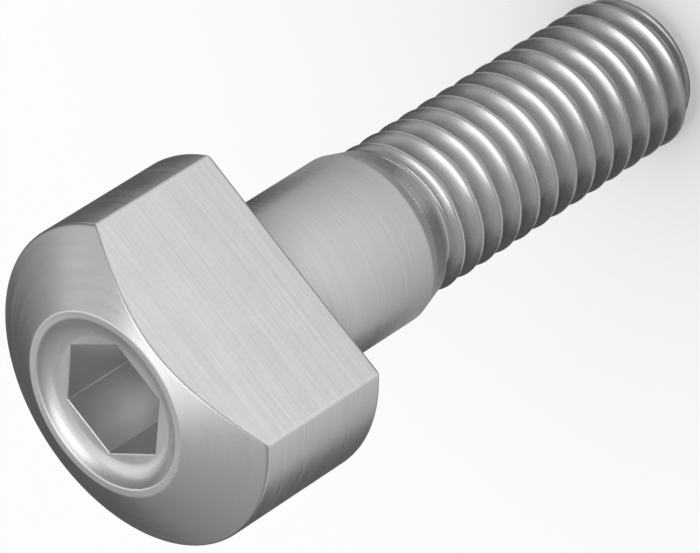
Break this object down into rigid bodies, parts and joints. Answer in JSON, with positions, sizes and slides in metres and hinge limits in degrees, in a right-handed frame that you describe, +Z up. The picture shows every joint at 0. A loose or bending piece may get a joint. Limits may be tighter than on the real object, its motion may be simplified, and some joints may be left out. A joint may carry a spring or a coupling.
{
  "type": "hexagon socket screw",
  "caption": "Machine screw with a bevelled D-shaped head, a hexagon socket, a plain shank and a slightly thinner thread; the flat on the head keeps it from turning.",
  "frame": {"origin": "the middle of the tip's flat end, on the screw's axis, where it stands on the ground", "axes": "+Z up along the screw's axis, from the tip to the head and its socket; +X out of the flat on the head"},
  "size_m": [0.0097, 0.012, 0.0279],
  "materials": {
    "steel": "satin, bright plated"
  },
  "bodies": {
    "root": {"screw": "steel"}
  },
  "joints": []
}
